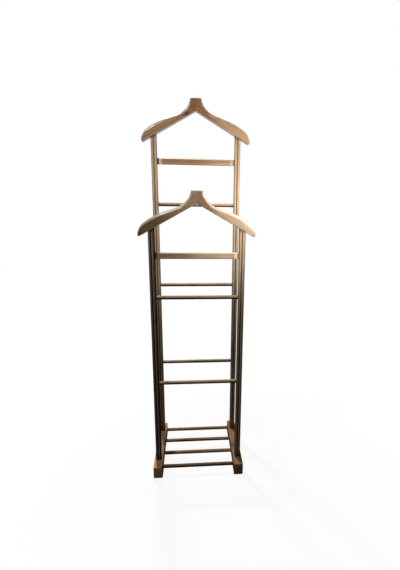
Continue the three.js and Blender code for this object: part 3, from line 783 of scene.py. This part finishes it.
def hanger_outline():
    """The whole hanger about its neck's top, as [x, z, edge radius]"""
    tip_x = HANGER_WIDTH / 2
    neck_x = NECK_WIDTH / 2
    flare_end = np.array([neck_x + FLARE_OUT, FLARE_DROP])
    run = tip_x - TIP_ROUND_IN - flare_end[0]
    shoulder_end = flare_end + (run, SHOULDER_SLOPE * run)
    tip_top = (tip_x, shoulder_end[1] + TIP_ROUND_DROP)
    third = run / 3
    half = []

    def add(points, start, end, ease=1.0):
        first = 1 if half else 0
        shares = np.linspace(0, 1, len(points)) ** ease
        for point, share in zip(points[first:], shares[first:]):
            half.append([point[0], -point[1], start + (end - start) * share])

    angles = np.linspace(-math.pi / 2, 0, NECK_STEPS + 1)
    add([(neck_x - NECK_CORNER + NECK_CORNER * math.cos(a), NECK_CORNER + NECK_CORNER * math.sin(a))
         for a in angles], NECK_EDGE, NECK_EDGE)
    (near_x, near_z), (far_x, far_z) = FLARE_HANDLES
    add(bezier((neck_x, NECK_CORNER), (neck_x + FLARE_OUT * near_x, FLARE_DROP * near_z),
               (neck_x + FLARE_OUT * far_x, FLARE_DROP * far_z), flare_end, FLARE_STEPS),
        NECK_EDGE, SHOULDER_EDGE, EDGE_EASE)
    near_slope, far_slope = (SHOULDER_SLOPE * share for share in SHOULDER_HANDLE_SLOPES)
    add(bezier(flare_end, flare_end + (third, third * near_slope),
               shoulder_end - (third, third * far_slope), shoulder_end, SHOULDER_STEPS),
        SHOULDER_EDGE, SHOULDER_EDGE)
    (near_x, near_z), (far_x, far_z) = TIP_HANDLES
    add(bezier(shoulder_end, shoulder_end + (TIP_ROUND_IN * near_x, TIP_ROUND_DROP * near_z),
               shoulder_end + (TIP_ROUND_IN * far_x, TIP_ROUND_DROP * far_z), tip_top, TIP_STEPS),
        SHOULDER_EDGE, UNDERSIDE_EDGE)
    a = np.array(tip_top)
    b = np.array((tip_x, underside_drop(tip_x)))
    c = np.array((tip_x - TIP_CORNER, underside_drop(tip_x - TIP_CORNER)))
    t = np.linspace(0, 1, TIP_CORNER_STEPS + 1)[:, None]
    add((1 - t) ** 2 * a + 2 * (1 - t) * t * b + t ** 2 * c, UNDERSIDE_EDGE, UNDERSIDE_EDGE)
    start = half[-1]
    for share in STRAIGHT_SHARES:
        half.append([start[0] * (1 - share), start[1] + (-NECK_DEPTH - start[1]) * share,
                     UNDERSIDE_EDGE])
    left = [[-x, z, r] for x, z, r in half][::-1]
    whole = left + half + [[0.0, -NECK_DEPTH, UNDERSIDE_EDGE]]
    return whole[::-1]


def hanger_arm(which, side_name):
    side = SIDES[side_name]
    neck, y = NECK[which], FRAMES[which]
    rings = plate_rings(hanger_outline(), HANGER_THICKNESS)
    rings = [np.stack([r[:, 0], y - r[:, 2], r[:, 1] + neck], 1) for r in rings]
    bm = loft(rings)
    cut = bmesh.ops.bisect_plane(
        bm, geom=bm.verts[:] + bm.edges[:] + bm.faces[:], clear_outer=True, dist=CUT_TOLERANCE,
        plane_co=(side * GLUE_LINE / 2 * MM, 0, 0), plane_no=(-side, 0, 0),
    )
    edges = [e for e in cut["geom_cut"] if isinstance(e, bmesh.types.BMEdge)]
    bmesh.ops.contextual_create(bm, geom=edges)
    bmesh.ops.recalc_face_normals(bm, faces=bm.faces)
    bmesh.ops.bisect_plane(
        bm, geom=bm.verts[:] + bm.edges[:] + bm.faces[:], dist=CUT_TOLERANCE,
        plane_co=(side * NECK_JOINT_CUT * MM, 0, 0), plane_no=(1, 0, 0),
    )
    name = f"{which}_{side_name}_hanger_arm"

    # A dark glue line at the neck joint, and painted shade along the front hanger's lower edge
    def grime_and_shade(p):
        above_underside = p.z - (neck - underside_drop(p.x))
        edge_below_shade = LOWER_EDGE_SHADE[which] * near(above_underside, *LOWER_EDGE_SHADE_WIDTH)
        return max(NECK_JOINT_DARK * near(abs(p.x) - GAP, *NECK_JOINT_MARK), edge_below_shade)

    # Painted highlights on the rims and on the neck's top
    def wear_and_highlight(p, normal):
        if normal.z < RIM_LOWEST:
            return 0.0
        outward = normal.z
        if abs(p.x) >= RIM_JOINT_CLEAR:
            outward = max(normal.z, RIM_SIDEWAYS * abs(normal.x))
        strength = NECK_HIGHLIGHT if p.z > neck - NECK_CORNER else RIM_HIGHLIGHTS[name]
        return strength * rise(outward, *RIM_RISE)

    piece(bm, name, MATERIALS[name], (1, 0, 0), (0, 0, 1),
          (side * ARM_ORIGIN, y, neck - ARM_ORIGIN), grime_and_shade, wear_and_highlight)


def post_section():
    """Front half of a post's section, from right to left, about the post's centre"""
    quarter = POST_WIDTH / 4
    radius = (quarter ** 2 + BEAD_RISE ** 2) / (2 * BEAD_RISE)
    centre = POST_DEPTH / 2 - radius
    half_angle = math.asin(quarter / radius)
    points = []
    for middle in (quarter, -quarter):
        angles = np.linspace(half_angle, -half_angle, BEAD_STEPS + 1)
        for angle in angles[(0 if middle > 0 else 1):]:
            points.append([middle + radius * math.sin(angle), centre + radius * math.cos(angle)])
    return points


def post(which, side_name):
    x = SIDES[side_name] * POST_X
    neck, y = NECK[which], FRAMES[which]
    lean = GAP / math.cos(math.atan(UNDERSIDE_SLOPE))
    top_low = neck - underside_drop(POST_X + POST_WIDTH / 2) - lean
    # The half runs round the front from right to left, and its turned copy round the back
    half = post_section()
    # Two more points on each side face keep the arris marks beside the arrises
    arris_y = POST_DEPTH / 2 - BEAD_RISE
    half += [[-POST_WIDTH / 2, share * arris_y] for share in POST_SIDE_SHARES]
    section = [(x + px, y - py) for px, py in half] + [(x - px, y + py) for px, py in half]
    between = np.arange(FOOT_TOP + POST_RINGS_FROM, top_low - POST_RINGS_TO, POST_RING_STEP)
    levels = [FOOT_TOP + GAP] + list(between) + [top_low - POST_LAST_RING]
    rings = [np.array([(px, py, z) for px, py in section])[::-1] for z in levels]
    top = rings[-1].copy()
    top[:, 2] = neck - NECK_DEPTH - UNDERSIDE_SLOPE * np.abs(top[:, 0]) - lean
    bm = loft(rings + [top])
    name = f"{which}_{side_name}_post"
    groove_shade_depth, left_arris_shade, right_arris_shade, crest_highlight, groove_place, crest_place = POST_LINES[name]

    # Darker just above the foot; painted shadow of the hanger at the top, painted shade with dust
    # in the groove, and painted shade beside the arrises
    def grime_and_shade(p):
        foot_end = near(p.z - FOOT_TOP, *POST_FOOT_MARK)
        top_shadow = near(neck - underside_drop(p.x) - p.z, *POST_TOP_SHADOW)
        groove_shade = groove_shade_depth * near(abs(p.x - x - groove_place), *GROOVE_SHADE_MARK)
        arris_shade_depth = right_arris_shade if p.x > x else left_arris_shade
        # Painted shade: an outer face is dark beside its arrises alone, an inner one is painted in
        # shade all over
        from_arris = POST_WIDTH / 2 - abs(p.x - x)
        if from_arris < ON_FACE and abs(p.x) > POST_X:
            from_arris = arris_y - abs(p.y - y)
        arris_shade = arris_shade_depth * near(from_arris, ARRIS_FADE * max(1.0, arris_shade_depth), ARRIS_FULL)
        return max(foot_end, top_shadow, groove_shade, arris_shade)

    # Painted highlights along the beads' crests, the right one brighter
    def wear_and_highlight(p, normal):
        left = near(abs(p.x - x + POST_WIDTH / 4), *CREST_HIGHLIGHT_MARK)
        right = near(abs(p.x - x - crest_place), *CREST_HIGHLIGHT_MARK)
        return max(LEFT_CREST * crest_highlight * left, crest_highlight * right)

    piece(bm, name, MATERIALS[name], (0, 0, 1), (0, -1, 0), (x, y, FOOT_TOP),
          grime_and_shade, wear_and_highlight, POST_SMOOTH_ANGLE)


def flat_rail(which):
    neck, y = NECK[which], FRAMES[which]
    z = neck - RAIL_BELOW_NECK
    end = POST_INNER + RAIL_REACH
    neck_end = POST_INNER - RAIL_TENON_SHOWING
    thin = RAIL_TENON_THICKNESS / 2
    swell = RAIL_THICKNESS / 2 - thin
    quarter = [[end, thin, RAIL_TENON_EDGE], [neck_end, thin, RAIL_TENON_EDGE]]
    for step in range(1, RAIL_SHOULDER_STEPS + 1):
        share = step / RAIL_SHOULDER_STEPS
        angle = math.pi / 2 * share
        quarter.append([
            neck_end - RAIL_SHOULDER * (1 - math.cos(angle)), thin + swell * math.sin(angle),
            RAIL_TENON_EDGE + (RAIL_EDGE - RAIL_TENON_EDGE) * share,
        ])
    shoulder_end = quarter[-1][0]
    for share in RAIL_SHARES:
        quarter.append([shoulder_end * (1 - share), RAIL_THICKNESS / 2, RAIL_EDGE])

    def mirrored(fx, fy):
        return [[fx * a, fy * b, r] for a, b, r in quarter]

    outline = mirrored(1, 1) + mirrored(-1, 1)[::-1] + mirrored(-1, -1) + mirrored(1, -1)[::-1]
    bm = loft([r + (0, y, z) for r in plate_rings(outline, RAIL_HEIGHT)])
    name = f"{which}_flat_rail"

    # Painted shade on the tenons, deeper at the left end
    def grime_and_shade(p):
        if abs(p.x) <= neck_end - TENON_LEAD:
            return 0.0
        return TENON_SHADE["right" if p.x > 0 else "left"]

    # Painted highlights on the shoulders and along the top
    def wear_and_highlight(p, normal):
        if 0.0 < neck_end - abs(p.x) < RAIL_SHOULDER - FACE_MARGIN:
            return SHOULDER_HIGHLIGHTS[which, p.x > 0]
        return rise(normal.z, *RAIL_TOP_RISE)

    piece(bm, name, MATERIALS[name], (1, 0, 0), (0, -1, 0), (0, y, z), grime_and_shade, wear_and_highlight)


def name_seed(name):
    """A steady number for a name"""
    total = NAME_START
    for letter in name:
        total = (total * NAME_FACTOR + ord(letter)) % NAME_LIMIT
    return total


def round_rail(name, y, z, inner, underside_shade_from):
    """A turned rod: barely uneven along its length, as sanded dowel is"""
    rng = np.random.default_rng(name_seed(name))
    reach = inner + RAIL_REACH
    even_end = inner - DOWEL_EVEN_FROM
    stations = np.concatenate([
        [-reach, -inner - DOWEL_BEYOND, -inner + DOWEL_INSIDE],
        np.linspace(-even_end, even_end, DOWEL_EVEN_RINGS),
        [inner - DOWEL_INSIDE, inner + DOWEL_BEYOND, reach],
    ])
    waves = rng.uniform(0, 2 * math.pi, 2)
    rings = []
    for s in stations:
        first, second = (1 + math.sin(s / length + wave)
                         for length, wave in zip(WAVE_LENGTHS, waves))
        r = DOWEL_RADIUS * (1 - WAVE_SHARE * first / 2 - WAVE_SHARE * second / 2)
        ys, zs = circle(DOWEL_SIDES, r, y, z)
        rings.append(np.stack([np.full(DOWEL_SIDES, s), ys, zs], 1))
    bm = loft(rings)

    # Darker where it goes into the post, and painted shade on the underside
    def grime_and_shade(p):
        shaded_beneath = rise((z - p.z) / DOWEL_RADIUS, underside_shade_from, UNDERSIDE_RANGE)
        return max(near(inner - abs(p.x), *DOWEL_END_MARK), UNDERSIDE_SHADE * shaded_beneath)

    # A painted highlight along the top, except on the shoe rack's rails
    def wear_and_highlight(p, normal):
        return 0.0 if "shoe" in name else ROD_TOP_HIGHLIGHT * rise(normal.z, *ROD_TOP_RISE)

    piece(bm, name, MATERIALS[name], (1, 0, 0), (0, 0, 1), (0, y, z), grime_and_shade, wear_and_highlight)


def foot_outline():
    """A foot's side, as [y, z, edge radius]"""
    end = FOOT_LENGTH / 2
    pad_end = end - FOOT_PAD
    arch = GLIDE_THICKNESS + ARCH_RISE
    toe_y, toe_z = end - FOOT_TOE_CORNER, GLIDE_THICKNESS + FOOT_TOE_CORNER
    top_y, top_z = end - FOOT_TOP_CORNER, FOOT_TOP - FOOT_TOP_CORNER
    ease_y = pad_end - ARCH_EASE
    ease_middle = pad_end - ARCH_EASE / 2
    points = []

    def arc(cy, cz, r, start, stop):
        for a in np.linspace(start, stop, FOOT_CORNER_STEPS + 1):
            points.append([cy + r * math.cos(a), cz + r * math.sin(a), FOOT_EDGE])

    pi = math.pi
    arc(toe_y, toe_z, FOOT_TOE_CORNER, -pi / 2, 0)
    arc(top_y, top_z, FOOT_TOP_CORNER, 0, pi / 2)
    for share in STRAIGHT_SHARES:
        points.append([top_y * (1 - 2 * share), FOOT_TOP, FOOT_EDGE])
    arc(-top_y, top_z, FOOT_TOP_CORNER, pi / 2, pi)
    arc(-toe_y, toe_z, FOOT_TOE_CORNER, pi, 1.5 * pi)
    for p in bezier((-pad_end, GLIDE_THICKNESS), (-ease_middle, GLIDE_THICKNESS),
                    (-ease_middle, arch), (-ease_y, arch), ARCH_STEPS):
        points.append([p[0], p[1], FOOT_EDGE])
    for p in bezier((ease_y, arch), (ease_middle, arch),
                    (ease_middle, GLIDE_THICKNESS), (pad_end, GLIDE_THICKNESS), ARCH_STEPS):
        points.append([p[0], p[1], FOOT_EDGE])
    return points


def foot(side_name):
    x = SIDES[side_name] * POST_X
    rings = plate_rings(foot_outline(), FOOT_WIDTH)
    bm = loft([np.stack([x + r[:, 2], r[:, 0], r[:, 1]], 1) for r in rings])
    name = f"{side_name}_foot"

    # Painted shade: the toes and a band along the bottom are dark as in the shadow beneath the
    # foot, and the faces towards the middle are painted in the rack's shade
    def grime_and_shade(p):
        toe = abs(p.y) > FOOT_LENGTH / 2 - TOE_DEPTH and p.z < TOE_HEIGHT
        if toe or p.z < FOOT_SHADE_BAND:
            return TOE_SHADE
        return FOOT_INNER_SHADE if abs(p.x) < FOOT_INNER + FACE_MARGIN else 0.0

    piece(bm, name, MATERIALS[name], (0, 1, 0), (0, 0, 1), (x, 0, 0), grime_and_shade)


def glide(which, side_name):
    """A moulded disc with a bevelled rim, a shallow hollow beneath and a stem"""
    x = SIDES[side_name] * POST_X
    y = math.copysign(FOOT_LENGTH / 2 - GLIDE_INSET, FRAMES[which])
    name = f"{which}_{side_name}_glide"
    rings = []
    for r, z in GLIDE_PROFILE:
        xs, ys = circle(GLIDE_SIDES, r, x, y)
        rings.append(np.stack([xs, ys, np.full(GLIDE_SIDES, z)], 1))
    bm = loft(rings)
    bmesh.ops.recalc_face_normals(bm, faces=bm.faces)
    piece(bm, name, PLASTIC, (1, 0, 0), (0, 0, 1), (x, y, 0))


for which in FRAMES:
    for side_name in SIDES:
        hanger_arm(which, side_name)
        post(which, side_name)
        glide(which, side_name)
    flat_rail(which)
for name, rail in ROUND_RAILS.items():
    round_rail(name, *rail)
for side_name in SIDES:
    foot(side_name)

# The pins and screws are the solids' own meshes
for name, node in nodes.items():
    if name in MATERIALS and not node.hide_render:
        node.data.materials.clear()
        node.data.materials.append(MATERIALS[name])
    if name.endswith("foot_screw"):
        node.data.materials.clear()
        node.data.materials.append(STEEL)


bpy.context.scene.view_settings.view_transform = "Standard"

# Camera, fitted to the photograph

camera_data = bpy.data.cameras.new("camera")
camera_data.sensor_fit = "AUTO"
camera_data.sensor_width = 36.0
camera_data.lens = 23.2728
camera_data.shift_x = -0.042463
camera_data.shift_y = 0.033876
camera_data.clip_start = 0.01
camera = new_object("camera", camera_data)
camera.matrix_world = Matrix((
    (0.9963056, 0.0088106, -0.085425, -0.0199),
    (-0.0849615, 0.2460731, -0.9655204, -1.55661),
    (0.012514, 0.9692112, 0.2459126, 1.1351),
    (0, 0, 0, 1),
))
bpy.context.scene.camera = camera


# Floor, white surroundings and lamps

FLOOR_HALF = 6.0
FLOOR_GREY = (0.12, 0.12, 0.12, 1)
# The floor's own glow near the object, and where and over how far it rises to white, in metres
FLOOR_GLOW = 0.92
FLOOR_NEAR = 0.3
FLOOR_FADE = 1.5
# What lights the shaded sides
AMBIENT_COLOUR = (1.0, 0.9, 0.8, 1)
AMBIENT_STRENGTH = 0.012
# Reflections: how bright the room in front is, and between which directions it turns into the
# backdrop
ROOM_STRENGTH = 0.08
ROOM_END = -0.3
BACKDROP_START = 0.2


def seen_directly(n, rays):
    """1 for what the camera sees, straight, mirrored or through glass"""
    other = n.math("MAXIMUM", rays.outputs["Is Glossy Ray"], rays.outputs["Is Transmission Ray"])
    return n.math("MAXIMUM", rays.outputs["Is Camera Ray"], other)


floor_mesh = bpy.data.meshes.new("floor")
corners = [(x * FLOOR_HALF, y * FLOOR_HALF, 0) for x, y in ((-1, -1), (1, -1), (1, 1), (-1, 1))]
floor_mesh.from_pydata(corners, [], [(0, 1, 2, 3)])
floor = new_object("floor", floor_mesh)
n = Nodes(bpy.data.materials.new("floor"))
rays = n.add("ShaderNodeLightPath")
diffuse = n.add("ShaderNodeBsdfDiffuse")
diffuse.inputs["Color"].default_value = FLOOR_GREY
glow = n.add("ShaderNodeEmission")
glow.inputs["Color"].default_value = (1, 1, 1, 1)
# White far away, and near the object a little short of white, so that the shadow shows
distance = n.vector("LENGTH", n.add("ShaderNodeNewGeometry").outputs["Position"])
far = n.math("DIVIDE", n.math("SUBTRACT", distance, FLOOR_NEAR), FLOOR_FADE, clamp=True)
n.link(n.line(far, FLOOR_GLOW, 1.0 - FLOOR_GLOW), glow.inputs["Strength"])
both = n.add("ShaderNodeAddShader")
n.link(diffuse.outputs[0], both.inputs[0])
n.link(glow.outputs[0], both.inputs[1])
floor_mesh.materials.append(n.finish(n.choose(seen_directly(n, rays), diffuse, both)))

world = bpy.data.worlds.new("world")
bpy.context.scene.world = world
n = Nodes(world)
rays = n.add("ShaderNodeLightPath")
# Varnish reflects the white backdrop behind the stand and the dim room in front of it
direction = n.add("ShaderNodeSeparateXYZ")
n.link(n.add("ShaderNodeTexCoord").outputs["Generated"], direction.inputs[0])
backdrop = n.add("ShaderNodeMapRange")
backdrop.inputs["From Min"].default_value = ROOM_END
backdrop.inputs["From Max"].default_value = BACKDROP_START
backdrop.inputs["To Min"].default_value = ROOM_STRENGTH
backdrop.inputs["To Max"].default_value = 1.0
n.link(direction.outputs["Y"], backdrop.inputs["Value"])
white = n.add("ShaderNodeBackground")
white.inputs["Color"].default_value = (1, 1, 1, 1)
shown = n.math("MAXIMUM", rays.outputs["Is Camera Ray"], backdrop.outputs[0])
n.link(shown, white.inputs["Strength"])
ambient = n.add("ShaderNodeBackground")
ambient.inputs["Color"].default_value = AMBIENT_COLOUR
ambient.inputs["Strength"].default_value = AMBIENT_STRENGTH
n.finish(n.choose(seen_directly(n, rays), ambient, white), "ShaderNodeOutputWorld")


def lamp(name, place, target, side, power, colour, spread=180):
    data = bpy.data.lights.new(name, "AREA")
    data.size = side
    data.energy = power
    data.color = colour
    data.spread = math.radians(spread)
    o = new_object(name, data)
    o.visible_camera = False
    o.location = place
    o.rotation_mode = "QUATERNION"
    o.rotation_quaternion = (Vector(target) - Vector(place)).to_track_quat("-Z", "Y")


# The key is a small softbox at the front right with a narrow beam and a closer one beside the
# frames, as in the photograph. A lamp above and behind gives the upper edges their light, and a
# weak one at the front left opens the shadows.
lamp("key", place=(0.45, -0.9, 1.15), target=(0.22, -0.11, 1.15), side=0.2, power=0.6,
     colour=(0.97, 0.98, 1.0), spread=50)
lamp("key_side", place=(0.42, -0.3, 1.28), target=(0.0, 0.1, 1.2), side=0.2, power=0.8,
     colour=(0.99, 0.99, 1.0), spread=120)
lamp("top_back", place=(-0.3, 0.9, 2.35), target=(0.0, 0.0, 1.2), side=0.15, power=28,
     colour=(0.96, 0.98, 1.0))
lamp("top_left", place=(-0.6, -0.65, 2.2), target=(0.0, 0.0, 1.2), side=0.15, power=7,
     colour=(0.97, 0.98, 1.0))
